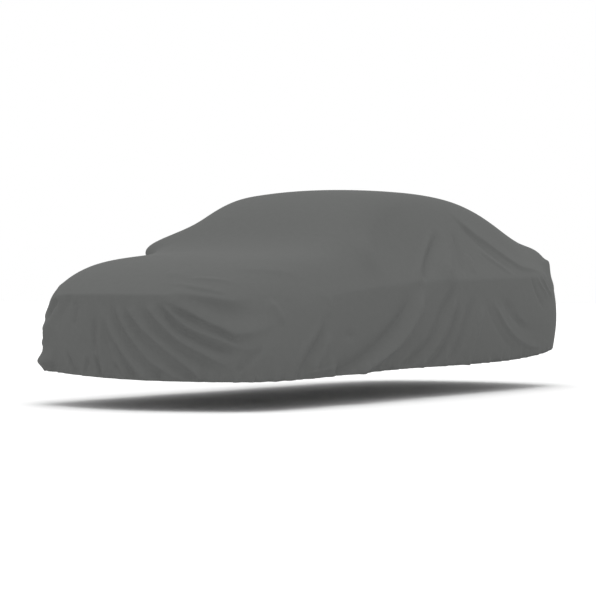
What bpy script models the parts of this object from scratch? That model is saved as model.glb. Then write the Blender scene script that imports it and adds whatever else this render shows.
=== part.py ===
"""Fitted car cover: one elasticated cloth sheet in the shape it takes over a saloon car.

Metres, +Z up. The car's nose points to -Y and its left side to +X. The origin is under the cloth at the
roof's crown, where the roof holds the cover up.
"""

import math

import bmesh
import bpy
import numpy as np
from mathutils import Vector
from mathutils.bvhtree import BVHTree

# driving dimensions, in metres
ROOF_HEIGHT = 1.412  # the cloth's underside at the crown, above the ground the car stands on
CLOTH_THICKNESS = 0.0025
SUBDIVISIONS = 4
SHEET_TRIANGLES = 4650  # left in the open sheet, before it gets its thickness
CLOTH_COLOUR = (0.147, 0.149, 0.147)  # linear
CLOTH_ROUGHNESS = 0.9

# the ruler round the cover: a rounded rectangle on which a fold's "round" is measured from the nose's middle
RULER_HALF_WIDTH = 0.90
RULER_FRONT = -2.58
RULER_REAR = 1.95
RULER_CORNER = 0.40

# one row a section of the sheet, nose to tail: y is its place at the middle, sweep is how far its ends lie
# towards the tail, and the rest are half widths (x) and heights above the ground (z)
SECTION_COLUMNS = (
    "y", "sweep", "crown_z", "edge_x", "edge_z", "sill_x", "sill_z", "belt_x", "belt_z",
    "wall_x", "wall_z", "low_x", "low_z", "hem_x", "hem_z",
)
SECTIONS = (
    (-2.58, 0.24, 0.690, 0.46, 0.687, 0.63, 0.677, 0.74, 0.64, 0.77, 0.52, 0.80, 0.34, 0.76, 0.175),
    (-2.42, 0.19, 0.806, 0.50, 0.801, 0.67, 0.781, 0.79, 0.70, 0.84, 0.53, 0.875, 0.34, 0.84, 0.175),
    (-2.12, 0.12, 0.905, 0.54, 0.895, 0.71, 0.868, 0.83, 0.74, 0.88, 0.55, 0.90, 0.34, 0.87, 0.177),
    (-1.80, 0.05, 0.945, 0.57, 0.930, 0.74, 0.890, 0.865, 0.66, 0.895, 0.56, 0.90, 0.35, 0.88, 0.180),
    (-1.45, 0.00, 0.976, 0.60, 0.950, 0.76, 0.905, 0.88, 0.70, 0.90, 0.57, 0.90, 0.35, 0.88, 0.185),
    (-1.20, -0.03, 1.064, 0.62, 1.020, 0.77, 0.945, 0.885, 0.72, 0.90, 0.58, 0.90, 0.36, 0.88, 0.190),
    (-0.95, 0.00, 1.254, 0.62, 1.200, 0.77, 0.960, 0.885, 0.74, 0.90, 0.58, 0.90, 0.36, 0.88, 0.195),
    (-0.65, 0.00, 1.382, 0.61, 1.332, 0.76, 0.970, 0.885, 0.765, 0.90, 0.58, 0.90, 0.36, 0.88, 0.198),
    (-0.35, 0.00, 1.408, 0.60, 1.362, 0.76, 0.975, 0.885, 0.78, 0.90, 0.58, 0.90, 0.36, 0.88, 0.200),
    (0.05, 0.00, 1.419, 0.58, 1.375, 0.76, 0.980, 0.885, 0.785, 0.90, 0.59, 0.90, 0.37, 0.88, 0.203),
    (0.45, 0.00, 1.409, 0.57, 1.365, 0.76, 0.985, 0.885, 0.795, 0.90, 0.60, 0.90, 0.38, 0.88, 0.208),
    (0.80, 0.00, 1.378, 0.56, 1.332, 0.75, 0.990, 0.88, 0.80, 0.90, 0.61, 0.90, 0.39, 0.88, 0.215),
    (1.10, 0.00, 1.305, 0.56, 1.255, 0.74, 0.990, 0.87, 0.81, 0.895, 0.62, 0.895, 0.41, 0.87, 0.230),
    (1.35, -0.02, 1.205, 0.56, 1.160, 0.72, 0.970, 0.855, 0.82, 0.885, 0.63, 0.885, 0.43, 0.86, 0.245),
    (1.60, -0.06, 1.105, 0.57, 1.080, 0.70, 0.950, 0.82, 0.83, 0.86, 0.63, 0.86, 0.45, 0.83, 0.265),
    (1.82, -0.12, 1.072, 0.57, 1.054, 0.70, 0.970, 0.775, 0.82, 0.82, 0.63, 0.82, 0.46, 0.79, 0.285),
    (1.95, -0.18, 1.047, 0.55, 1.030, 0.67, 0.965, 0.72, 0.81, 0.74, 0.62, 0.76, 0.46, 0.72, 0.295),
)

# one row a fold: its half widths left and right of its course as seen from outside, its rise off the smooth
# sheet (a trough's is negative), the shares of its length over which it grows and dies, and its course as
# (round, height above the ground)
FOLD_COLUMNS = ("name", "left", "right", "rise", "grow", "die", "course")
FOLDS = (
    # the nose and its left corner
    ("corner swag", 0.070, 0.026, 0.026, 0.12, 0.45,
     ((0.30, 0.67), (0.39, 0.63), (0.58, 0.54), (0.73, 0.50), (0.86, 0.46), (1.07, 0.49), (1.20, 0.55))),
    ("second swag", 0.028, 0.026, 0.018, 0.12, 0.4,
     ((0.31, 0.63), (0.40, 0.55), (0.50, 0.48), (0.69, 0.43), (0.87, 0.38), (1.00, 0.37), (1.08, 0.39))),
    ("second trough", 0.026, 0.026, -0.014, 0.12, 0.2,
     ((0.26, 0.65), (0.36, 0.53), (0.47, 0.45), (0.64, 0.39), (0.86, 0.34))),
    ("third ridge", 0.050, 0.026, 0.018, 0.12, 0.2,
     ((0.19, 0.64), (0.29, 0.53), (0.40, 0.43), (0.52, 0.36), (0.69, 0.30), (0.85, 0.25))),
    ("fourth ridge", 0.034, 0.026, 0.015, 0.12, 0,
     ((0.07, 0.62), (0.18, 0.49), (0.30, 0.39), (0.39, 0.32), (0.54, 0.20))),
    ("fifth ridge", 0.030, 0.026, 0.012, 0.12, 0,
     ((-0.01, 0.63), (0.04, 0.52), (0.14, 0.39), (0.24, 0.29), (0.39, 0.20))),
    ("sixth ridge", 0.040, 0.026, 0.018, 0.3, 0,
     ((-0.11, 0.64), (-0.08, 0.54), (-0.01, 0.41), (0.07, 0.31), (0.18, 0.20))),
    ("nose pleat", 0.026, 0.026, 0.014, 0.3, 0, ((-0.15, 0.66), (-0.13, 0.53), (-0.13, 0.39), (-0.11, 0.20))),
    ("nose panel", 0.080, 0.080, 0.010, 0.4, 0.4, ((-0.30, 0.64), (-0.29, 0.52), (-0.28, 0.34))),
    ("far pleat", 0.026, 0.030, -0.012, 0.3, 0.3, ((-0.35, 0.67), (-0.36, 0.57), (-0.37, 0.46))),
    ("hollow under the lamp", 0.060, 0.050, -0.014, 0.2, 0.5,
     ((-0.40, 0.69), (-0.49, 0.60), (-0.58, 0.53), (-0.66, 0.44))),
    ("far corner ridge", 0.060, 0.050, 0.018, 0.3, 0.3,
     ((-0.62, 0.62), (-0.74, 0.54), (-0.84, 0.45), (-0.90, 0.34))),
    ("notch by the lamp", 0.060, 0.060, -0.030, 0.3, 0.3,
     ((-0.64, 0.68), (-0.74, 0.62), (-0.82, 0.56), (-0.88, 0.50))),
    ("far hem bulge", 0.050, 0.050, 0.058, 0.4, 0.4, ((-0.60, 0.23), (-0.80, 0.24), (-1.00, 0.24))),
    ("first hem tuck", 0.026, 0.026, -0.014, 0.5, 0, ((-0.46, 0.33), (-0.42, 0.26), (-0.38, 0.20))),
    ("corner tuck", 0.026, 0.030, -0.012, 0.2, 0, ((1.06, 0.38), (0.96, 0.32), (0.87, 0.25), (0.83, 0.19))),
    # the left wing and bonnet edge
    ("wing pocket", 0.060, 0.085, -0.021, 0.3, 0.5,
     ((0.36, 0.69), (0.55, 0.64), (0.75, 0.60), (0.95, 0.57), (1.12, 0.58))),
    ("wing crease", 0.026, 0.026, 0.010, 0.3, 0.4, ((0.27, 0.76), (0.47, 0.73), (0.65, 0.71), (0.89, 0.68))),
    ("pocket's end", 0.030, 0.030, 0.012, 0.3, 0.3, ((1.14, 0.66), (1.20, 0.58), (1.22, 0.50))),
    # the left side
    ("front wheel ridge", 0.030, 0.026, 0.010, 0.3, 0,
     ((1.60, 0.58), (1.57, 0.51), (1.50, 0.44), (1.41, 0.37), (1.35, 0.29), (1.30, 0.19))),
    ("front wheel trough", 0.030, 0.026, -0.016, 0.3, 0,
     ((1.64, 0.56), (1.60, 0.45), (1.51, 0.36), (1.43, 0.28), (1.37, 0.20))),
    ("second wheel ridge", 0.040, 0.028, 0.020, 0.3, 0.2,
     ((1.69, 0.48), (1.66, 0.42), (1.59, 0.33), (1.52, 0.26), (1.47, 0.21))),
    ("wheel dimple", 0.030, 0.026, -0.010, 0.4, 0.4, ((1.84, 0.46), (1.93, 0.43), (2.00, 0.42))),
    ("upper door fold", 0.036, 0.026, 0.014, 0.3, 0.2,
     ((3.34, 1.16), (3.18, 1.05), (3.04, 0.96), (2.90, 0.87), (2.80, 0.79), (2.76, 0.70))),
    ("upper door trough", 0.040, 0.026, -0.013, 0.25, 0.3,
     ((3.40, 1.12), (3.21, 1.01), (3.06, 0.92), (2.93, 0.82), (2.86, 0.74))),
    ("door trough", 0.030, 0.046, -0.022, 0.3, 0.05,
     ((2.71, 0.72), (2.66, 0.65), (2.57, 0.56), (2.45, 0.47),
      (2.30, 0.39), (2.14, 0.31), (1.97, 0.25), (1.76, 0.20))),
    ("door fold", 0.036, 0.026, 0.036, 0.2, 0,
     ((2.88, 0.74), (2.82, 0.66), (2.73, 0.55), (2.61, 0.45), (2.47, 0.36), (2.28, 0.28), (2.05, 0.20))),
    ("cabin crease", 0.060, 0.110, 0.012, 0.3, 0.3,
     ((3.27, 1.38), (2.73, 1.23), (2.47, 1.09), (2.30, 0.97), (2.11, 0.80))),
    ("pillar facet", 0.055, 0.100, 0.024, 0.85, 0.3,
     ((3.56, 1.17), (3.44, 1.03), (3.34, 0.92), (3.24, 0.82), (3.17, 0.72))),
    ("beside the facet", 0.045, 0.026, -0.013, 0.3, 0.3,
     ((3.60, 1.14), (3.56, 1.01), (3.52, 0.91), (3.44, 0.80))),
    ("rear door trough", 0.026, 0.040, -0.020, 0.2, 0,
     ((3.34, 0.78), (3.19, 0.65), (3.07, 0.54), (3.00, 0.45), (2.93, 0.37), (2.83, 0.31), (2.64, 0.22))),
    ("rear door ridge", 0.026, 0.026, 0.014, 0.25, 0,
     ((3.33, 0.71), (3.26, 0.62), (3.18, 0.52), (3.10, 0.42), (3.01, 0.34), (2.84, 0.22))),
    ("arch front trough", 0.026, 0.026, -0.016, 0.25, 0,
     ((3.36, 0.66), (3.30, 0.57), (3.24, 0.47), (3.17, 0.38), (3.09, 0.30), (2.96, 0.22))),
    ("arch front ridge", 0.036, 0.026, 0.012, 0.3, 0,
     ((3.44, 0.65), (3.36, 0.53), (3.29, 0.42), (3.21, 0.31), (3.11, 0.22))),
    ("arch hollow", 0.030, 0.050, -0.018, 0.3, 0.1,
     ((3.59, 0.67), (3.48, 0.57), (3.41, 0.47), (3.34, 0.36), (3.22, 0.24))),
    ("arch tongue", 0.032, 0.036, 0.030, 0.2, 0.2, ((3.69, 0.61), (3.61, 0.51), (3.55, 0.39), (3.47, 0.26))),
    ("quarter ridge", 0.034, 0.026, 0.014, 0.2, 0.3,
     ((3.78, 0.69), (3.88, 0.57), (4.01, 0.46), (4.19, 0.37), (4.43, 0.31), (4.72, 0.29))),
    ("over the quarter ridge", 0.050, 0.030, -0.014, 0.25, 0.5,
     ((3.90, 0.68), (4.06, 0.57), (4.27, 0.46), (4.59, 0.39))),
    ("pillar ridge", 0.080, 0.026, 0.017, 0.15, 0.4,
     ((3.68, 1.29), (3.83, 1.15), (4.03, 1.05), (4.23, 0.95), (4.39, 0.88), (4.64, 0.86), (4.92, 0.81))),
    ("lower pillar crease", 0.030, 0.026, 0.010, 0.3, 0.4,
     ((3.84, 1.02), (3.98, 0.93), (4.12, 0.86), (4.24, 0.81))),
    ("pillar side crease", 0.030, 0.030, 0.010, 0.3, 0.3, ((3.66, 0.98), (3.64, 0.90), (3.60, 0.82))),
    ("boot edge", 0.026, 0.070, 0.024, 0.3, 0.3, ((4.86, 0.94), (5.05, 0.92), (5.40, 0.93), (5.80, 0.94))),
    ("tail corner hollow", 0.026, 0.026, -0.013, 0.25, 0.3,
     ((4.46, 0.82), (4.50, 0.76), (4.56, 0.67), (4.67, 0.58))),
    # the tail
    ("tail swag", 0.034, 0.030, 0.024, 0.4, 0.4, ((4.98, 0.84), (5.16, 0.70), (5.50, 0.60), (5.90, 0.57))),
    ("tail swag hollow", 0.036, 0.040, -0.018, 0.4, 0.4,
     ((5.02, 0.74), (5.22, 0.60), (5.54, 0.51), (5.88, 0.49))),
    ("tail right swag", 0.030, 0.034, 0.022, 0.4, 0.5, ((-5.06, 0.82), (-5.24, 0.68), (-5.52, 0.59))),
    ("second tail swag", 0.030, 0.034, 0.018, 0.3, 0.4,
     ((5.06, 0.64), (5.22, 0.50), (5.52, 0.42), (5.84, 0.41))),
    ("tail right hollow", 0.034, 0.034, -0.018, 0.3, 0.4, ((-5.10, 0.70), (-5.28, 0.56), (-5.56, 0.48))),
    ("second tail right swag", 0.030, 0.030, 0.017, 0.3, 0.4, ((-5.08, 0.56), (-5.26, 0.43), (-5.56, 0.36))),
    ("boot lid crease", 0.030, 0.026, 0.012, 0.4, 0.4, ((-5.30, 0.88), (-5.62, 0.82), (5.90, 0.80))),
    ("tail left pleat", 0.030, 0.030, 0.022, 0.3, 0, ((5.20, 0.58), (5.32, 0.44), (5.50, 0.29))),
    ("tail middle pleat", 0.028, 0.030, 0.018, 0.3, 0, ((5.88, 0.50), (5.92, 0.40), (5.86, 0.29))),
    ("tail right pleat", 0.032, 0.028, 0.022, 0.3, 0, ((-5.24, 0.60), (-5.38, 0.44), (-5.60, 0.29))),
    # the right side, much like the left but with its folds elsewhere
    ("right pillar ridge", 0.040, 0.070, 0.046, 0.2, 0.3,
     ((-3.70, 1.29), (-3.88, 1.17), (-4.12, 1.01), (-4.38, 0.89), (-4.70, 0.84), (-5.00, 0.82))),
    ("under the right ridge", 0.060, 0.035, -0.024, 0.2, 0.4,
     ((-3.80, 1.16), (-4.04, 1.00), (-4.28, 0.89), (-4.50, 0.81))),
    ("right door fold", 0.045, 0.060, 0.030, 0.2, 0,
     ((-3.02, 1.10), (-2.86, 0.95), (-2.74, 0.78), (-2.66, 0.58), (-2.44, 0.38), (-2.16, 0.20))),
    ("right door hollow", 0.060, 0.050, -0.032, 0.4, 0.1,
     ((-2.60, 0.68), (-2.46, 0.50), (-2.24, 0.36), (-1.96, 0.24))),
    ("right rear door hollow", 0.045, 0.045, -0.026, 0.3, 0,
     ((-3.36, 0.78), (-3.26, 0.60), (-3.12, 0.42), (-2.92, 0.24))),
    ("right arch tongue", 0.060, 0.060, 0.026, 0.4, 0.2, ((-3.78, 0.60), (-3.64, 0.46), (-3.52, 0.27))),
    ("right quarter ridge", 0.030, 0.050, 0.028, 0.3, 0.2,
     ((-3.88, 0.70), (-4.00, 0.54), (-4.20, 0.38), (-4.56, 0.28))),
    ("right wheel trough", 0.036, 0.036, -0.024, 0.3, 0, ((-1.66, 0.55), (-1.58, 0.40), (-1.44, 0.20))),
    ("right corner swag", 0.026, 0.055, 0.026, 0.3, 0.4,
     ((-0.92, 0.60), (-1.14, 0.50), (-1.36, 0.52), (-1.56, 0.60))),
    ("right corner hollow", 0.045, 0.030, -0.026, 0.3, 0.4, ((-0.96, 0.48), (-1.16, 0.40), (-1.40, 0.43))),
    ("second right swag", 0.026, 0.034, 0.018, 0.2, 0.3, ((-0.94, 0.50), (-1.12, 0.36), (-1.32, 0.27))),
    ("right nose ridge", 0.026, 0.026, 0.014, 0.25, 0, ((-0.98, 0.40), (-1.10, 0.29), (-1.18, 0.19))),
    ("right wing crease", 0.028, 0.026, 0.010, 0.3, 0.4, ((-0.92, 0.75), (-1.14, 0.73), (-1.42, 0.73))),
    ("right wheel ridge", 0.028, 0.034, 0.016, 0.3, 0,
     ((-1.77, 0.58), (-1.70, 0.43), (-1.60, 0.30), (-1.55, 0.21))),
    ("right upper door fold", 0.030, 0.036, 0.016, 0.25, 0.2,
     ((-3.42, 1.14), (-3.30, 1.02), (-3.20, 0.92), (-3.15, 0.80))),
    ("right rear door ridge", 0.026, 0.030, 0.017, 0.25, 0,
     ((-3.30, 0.72), (-3.21, 0.57), (-3.08, 0.42), (-2.88, 0.24))),
    ("right arch trough", 0.028, 0.032, -0.016, 0.25, 0,
     ((-3.52, 0.68), (-3.44, 0.52), (-3.31, 0.37), (-3.16, 0.24))),
    ("right quarter trough", 0.028, 0.034, -0.016, 0.25, 0.2,
     ((-4.04, 0.67), (-4.16, 0.54), (-4.36, 0.42), (-4.66, 0.36))),
    ("right tail corner fold", 0.026, 0.026, 0.014, 0.25, 0.3, ((-4.48, 0.82), (-4.59, 0.70), (-4.74, 0.57))),
    ("second right tail corner fold", 0.026, 0.026, 0.012, 0.25, 0.3,
     ((-4.64, 0.83), (-4.77, 0.71), (-4.94, 0.60))),
)

# one row a door mirror under the cloth: its side, place, reach and how far out it holds the sheet
MIRROR_COLUMNS = ("side", "y", "height", "reach", "out")
MIRRORS = (
    (-1, -1.048, 1.000, 0.135, 0.215),
    (1, -1.00, 0.960, 0.130, 0.030),
)

# one row a stretch of hem that the elastic draws up: where it is, half its length and how far it rises
LIFT_COLUMNS = ("round", "half_length", "lift")
LIFTS = (
    (-0.85, 0.80, 0.038),
    (-1.70, 0.45, 0.020),
    (2.60, 0.80, 0.006),
)
LIFT_REACH = 0.35  # the height over which a lift fades
GATHER_WAVES = ((0.170, 0.006), (0.107, 0.004))  # length round the hem, depth
GATHER_REACH = 0.10

NOSE_CREASE = 0.7  # how tight the bonnet's front edge is, from 0 to 1
BELT_CREASE = 0.75  # and the doors' upper edge, over these sections
BELT_ROWS = (3, 14)

TOP_POINTS = 3  # from the middle to the top's edge
HALF_GIRTH = TOP_POINTS + 5  # then sill, belt, wall, low and hem
BELT = TOP_POINTS + 2  # the point where the nose's and the tail's faces begin
COURSE_STEPS = 18  # straight steps in which a fold's course is followed


def clear_scene():
    for thing in list(bpy.data.objects):
        bpy.data.objects.remove(thing, do_unlink=True)


def half_section(row):
    """The points of one section from its middle to its hem, as (x, y, z)."""
    size = dict(zip(SECTION_COLUMNS, row))
    points = []
    for k in range(TOP_POINTS + 1):
        part = k / TOP_POINTS
        drop = (size["crown_z"] - size["edge_z"]) * part**2
        points.append((size["edge_x"] * part, size["crown_z"] - drop))
    for name in ("sill", "belt", "wall", "low", "hem"):
        points.append((size[name + "_x"], size[name + "_z"]))
    widest = size["belt_x"]
    return [(x, size["y"] + size["sweep"] * min(x / widest, 1.0) ** 2, z - ROOF_HEIGHT) for x, z in points]


def end_point(section, column, row):
    """A point of the nose's or the tail's face: a column of the top carried down to a wall row."""
    spread = section[abs(column)][0] / section[BELT][0]
    side = math.copysign(1.0, column)
    corner = section[row]
    middle_y = section[0][1] + (corner[1] - section[BELT][1])
    return (side * spread * corner[0], middle_y + (corner[1] - middle_y) * spread**2, corner[2])


def cage():
    """The coarse cage: sections lofted nose to tail, and a face of the same rows at each end."""
    sections = [half_section(row) for row in SECTIONS]
    bm = bmesh.new()
    grid = {}
    for i, section in enumerate(sections):
        for g in range(-HALF_GIRTH, HALF_GIRTH + 1):
            x, y, z = section[abs(g)]
            grid[i, g] = bm.verts.new((math.copysign(x, g), y, z))
    for i in range(len(sections) - 1):
        for g in range(-HALF_GIRTH, HALF_GIRTH):
            bm.faces.new((grid[i, g], grid[i + 1, g], grid[i + 1, g + 1], grid[i, g + 1]))
    for i in (0, len(sections) - 1):
        face = {(BELT, c): grid[i, c] for c in range(-BELT, BELT + 1)}
        for row in range(BELT + 1, HALF_GIRTH + 1):
            face[row, -BELT] = grid[i, -row]
            face[row, BELT] = grid[i, row]
            for c in range(-BELT + 1, BELT):
                face[row, c] = bm.verts.new(end_point(sections[i], c, row))
        for row in range(BELT, HALF_GIRTH):
            for c in range(-BELT, BELT):
                bm.faces.new((face[row, c], face[row, c + 1], face[row + 1, c + 1], face[row + 1, c]))
    crease = bm.edges.layers.float.new("crease_edge")
    for g in range(-BELT, BELT):
        bm.edges.get((grid[0, g], grid[0, g + 1]))[crease] = NOSE_CREASE
    for i in range(*BELT_ROWS):
        for g in (-BELT, BELT):
            bm.edges.get((grid[i, g], grid[i + 1, g]))[crease] = BELT_CREASE
    bmesh.ops.recalc_face_normals(bm, faces=bm.faces)
    mesh = bpy.data.meshes.new("cage")
    bm.to_mesh(mesh)
    bm.free()
    return mesh


def subdivided(mesh, levels):
    """The mesh after Subdivision Surface."""
    thing = bpy.data.objects.new("cage", mesh)
    bpy.context.scene.collection.objects.link(thing)
    smooth = thing.modifiers.new("smooth", "SUBSURF")
    smooth.levels = smooth.render_levels = levels
    smooth.boundary_smooth = "ALL"
    bpy.context.view_layer.update()
    result = bpy.data.meshes.new_from_object(thing.evaluated_get(bpy.context.evaluated_depsgraph_get()))
    bpy.data.objects.remove(thing, do_unlink=True)
    return result


def ruler(round_m):
    """The place and the outward direction, in plan, of a distance round the ruler from the nose's middle."""
    side = math.copysign(1.0, round_m)
    left = abs(round_m)
    straight_front = RULER_HALF_WIDTH - RULER_CORNER
    quarter = math.pi / 2 * RULER_CORNER
    straight_side = RULER_REAR - RULER_FRONT - 2 * RULER_CORNER
    if left < straight_front:
        return Vector((side * left, RULER_FRONT, 0.0)), Vector((0.0, -1.0, 0.0))
    left -= straight_front
    if left < quarter:
        turn = left / RULER_CORNER
        centre = Vector((side * straight_front, RULER_FRONT + RULER_CORNER, 0.0))
        out = Vector((side * math.sin(turn), -math.cos(turn), 0.0))
        return centre + out * RULER_CORNER, out
    left -= quarter
    if left < straight_side:
        place = Vector((side * RULER_HALF_WIDTH, RULER_FRONT + RULER_CORNER + left, 0.0))
        return place, Vector((side, 0.0, 0.0))
    left -= straight_side
    if left < quarter:
        turn = left / RULER_CORNER
        centre = Vector((side * straight_front, RULER_REAR - RULER_CORNER, 0.0))
        out = Vector((side * math.cos(turn), math.sin(turn), 0.0))
        return centre + out * RULER_CORNER, out
    left -= quarter
    return Vector((side * (straight_front - left), RULER_REAR, 0.0)), Vector((0.0, 1.0, 0.0))


def ruler_length():
    """Half the way round the ruler, from the nose's middle to the tail's."""
    straight = RULER_HALF_WIDTH - RULER_CORNER
    return 2 * straight + math.pi * RULER_CORNER + RULER_REAR - RULER_FRONT - 2 * RULER_CORNER


def round_of(x, y):
    """The ruler's reading nearest to places in plan, as an array."""
    half = ruler_length()
    marks = np.linspace(-half, half, 800, endpoint=False)
    places = np.array([ruler(m)[0][:2] for m in marks])
    result = np.empty(len(x))
    for i in range(0, len(x), 4096):
        part = slice(i, i + 4096)
        away = (x[part, None] - places[:, 0]) ** 2 + (y[part, None] - places[:, 1]) ** 2
        result[part] = marks[away.argmin(axis=1)]
    return result


def lay(tree, round_m, height):
    """The smooth sheet's point and normal at a distance round it and a height above the ground."""
    place, out = ruler(round_m)
    start = place + out + Vector((0.0, 0.0, height - ROOF_HEIGHT))
    hit, normal = tree.ray_cast(start, -out, 2.0)[:2]
    if hit is None:
        hit, normal = tree.find_nearest(start - out)[:2]
    return hit, normal


def course_points(tree, course):
    """A fold's course as points and normals on the smooth sheet, along a Catmull-Rom curve."""
    half = ruler_length()
    knots = [Vector(course[0])]
    for round_m, height in course[1:]:
        turn = round((knots[-1].x - round_m) / (2 * half))
        knots.append(Vector((round_m + turn * 2 * half, height)))
    knots = [2 * knots[0] - knots[1]] + knots + [2 * knots[-1] - knots[-2]]
    points, normals = [], []
    for step in range(COURSE_STEPS + 1):
        at = step / COURSE_STEPS * (len(knots) - 3)
        i = min(int(at), len(knots) - 4)
        t = at - i
        a, b, c, d = knots[i : i + 4]
        place = 0.5 * (2 * b + (c - a) * t + (2 * a - 5 * b + 4 * c - d) * t**2 + (3 * b - a - 3 * c + d) * t**3)
        point, normal = lay(tree, (place.x + half) % (2 * half) - half, place.y)
        points.append(point)
        normals.append(normal)
    return np.array(points), np.array(normals)


def smoothstep(t):
    t = np.clip(t, 0.0, 1.0)
    return t * t * (3 - 2 * t)


def fold_rise(points, tree, fold):
    """How far one fold lifts each point off the smooth sheet."""
    size = dict(zip(FOLD_COLUMNS, fold))
    course, normals = course_points(tree, size["course"])
    steps = np.diff(course, axis=0)
    lengths = np.linalg.norm(steps, axis=1).clip(1e-6)
    along = np.concatenate([[0.0], np.cumsum(lengths)])
    nearest = np.full(len(points), np.inf)
    share = np.zeros(len(points))
    on_left = np.zeros(len(points), bool)
    for i, step in enumerate(steps):
        t = np.clip((points - course[i]) @ step / lengths[i] ** 2, 0.0, 1.0)
        offset = points - course[i] - t[:, None] * step
        away = np.linalg.norm(offset, axis=1)
        closer = away < nearest
        nearest[closer] = away[closer]
        share[closer] = (along[i] + t[closer] * lengths[i]) / along[-1]
        on_left[closer] = (offset @ np.cross(normals[i], step))[closer] > 0
    ends = np.ones(len(points))
    if size["grow"] > 0:
        ends *= smoothstep(share / size["grow"])
    if size["die"] > 0:
        ends *= smoothstep((1 - share) / size["die"])
    width = np.where(on_left, size["left"], size["right"])
    return size["rise"] * ends * np.exp(-((nearest / width) ** 2))


def raise_hem(points):
    """Draws stretches of the hem up and gathers it along its elastic."""
    round_m = round_of(points[:, 0], points[:, 1])
    height = points[:, 2] + ROOF_HEIGHT
    near_hem = np.exp(-(((height - 0.2) / LIFT_REACH).clip(0.0) ** 2))
    for row in LIFTS:
        size = dict(zip(LIFT_COLUMNS, row))
        swell = np.exp(-(((round_m - size["round"]) / size["half_length"]) ** 2))
        points[:, 2] += size["lift"] * swell * near_hem
    gather = np.zeros(len(points))
    for length, depth in GATHER_WAVES:
        phase = round_m + 0.4 * length * np.sin(round_m * 1.7)
        gather += depth * np.sin(2 * math.pi * phase / length)
    return gather * np.exp(-(((height - 0.19) / GATHER_REACH).clip(0.0) ** 2))


def draped_sheet():
    """The open sheet with its folds, as a mesh."""
    mesh = subdivided(cage(), SUBDIVISIONS)
    count = len(mesh.vertices)
    points = np.empty(count * 3)
    mesh.vertices.foreach_get("co", points)
    points = points.reshape(-1, 3)
    normals = np.empty(count * 3)
    mesh.vertex_normals.foreach_get("vector", normals)
    normals = normals.reshape(-1, 3)
    faces = [list(face.vertices) for face in mesh.polygons]
    tree = BVHTree.FromPolygons([Vector(p) for p in points], faces)
    rise = sum(fold_rise(points, tree, fold) for fold in FOLDS)
    draped = points + normals * rise[:, None]
    for row in MIRRORS:
        size = dict(zip(MIRROR_COLUMNS, row))
        centre = np.array(lay(tree, size["side"] * mirror_round(size["y"]), size["height"])[0])
        away = np.linalg.norm((points - centre) * (0.8, 1.0, 0.95), axis=1)
        draped[:, 0] += size["side"] * size["out"] * np.exp(-((away / size["reach"]) ** 2))
    gather = raise_hem(draped)
    draped += normals * gather[:, None]
    mesh.vertices.foreach_set("co", draped.ravel())
    mesh.update()
    return mesh


def mirror_round(y):
    """The ruler's reading at a place along the cover's side."""
    front = RULER_HALF_WIDTH - RULER_CORNER + math.pi / 2 * RULER_CORNER
    return front + y - (RULER_FRONT + RULER_CORNER)


def cloth_material():
    material = bpy.data.materials.new("cover cloth")
    material.use_nodes = True
    shader = material.node_tree.nodes["Principled BSDF"]
    shader.inputs["Base Color"].default_value = (*CLOTH_COLOUR, 1.0)
    shader.inputs["Roughness"].default_value = CLOTH_ROUGHNESS
    shader.inputs["Metallic"].default_value = 0.0
    return material


def main():
    clear_scene()
    mesh = draped_sheet()
    mesh.name = "cover"
    mesh.materials.append(cloth_material())
    mesh.shade_smooth()
    cover = bpy.data.objects.new("cover", mesh)
    parts = bpy.data.collections.new("car cover")
    bpy.context.scene.collection.children.link(parts)
    parts.objects.link(cover)
    triangles = sum(len(face.vertices) - 2 for face in mesh.polygons)
    thin_out = cover.modifiers.new("thin out", "DECIMATE")
    thin_out.ratio = SHEET_TRIANGLES / triangles
    thickness = cover.modifiers.new("thickness", "SOLIDIFY")
    thickness.thickness = CLOTH_THICKNESS
    thickness.offset = -1.0
    thickness.use_even_offset = True
    thickness.use_quality_normals = True


main()
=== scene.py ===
import math

import bmesh
import bpy
import numpy as np
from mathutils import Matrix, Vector
from mathutils.bvhtree import BVHTree
from mathutils.kdtree import KDTree


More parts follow.
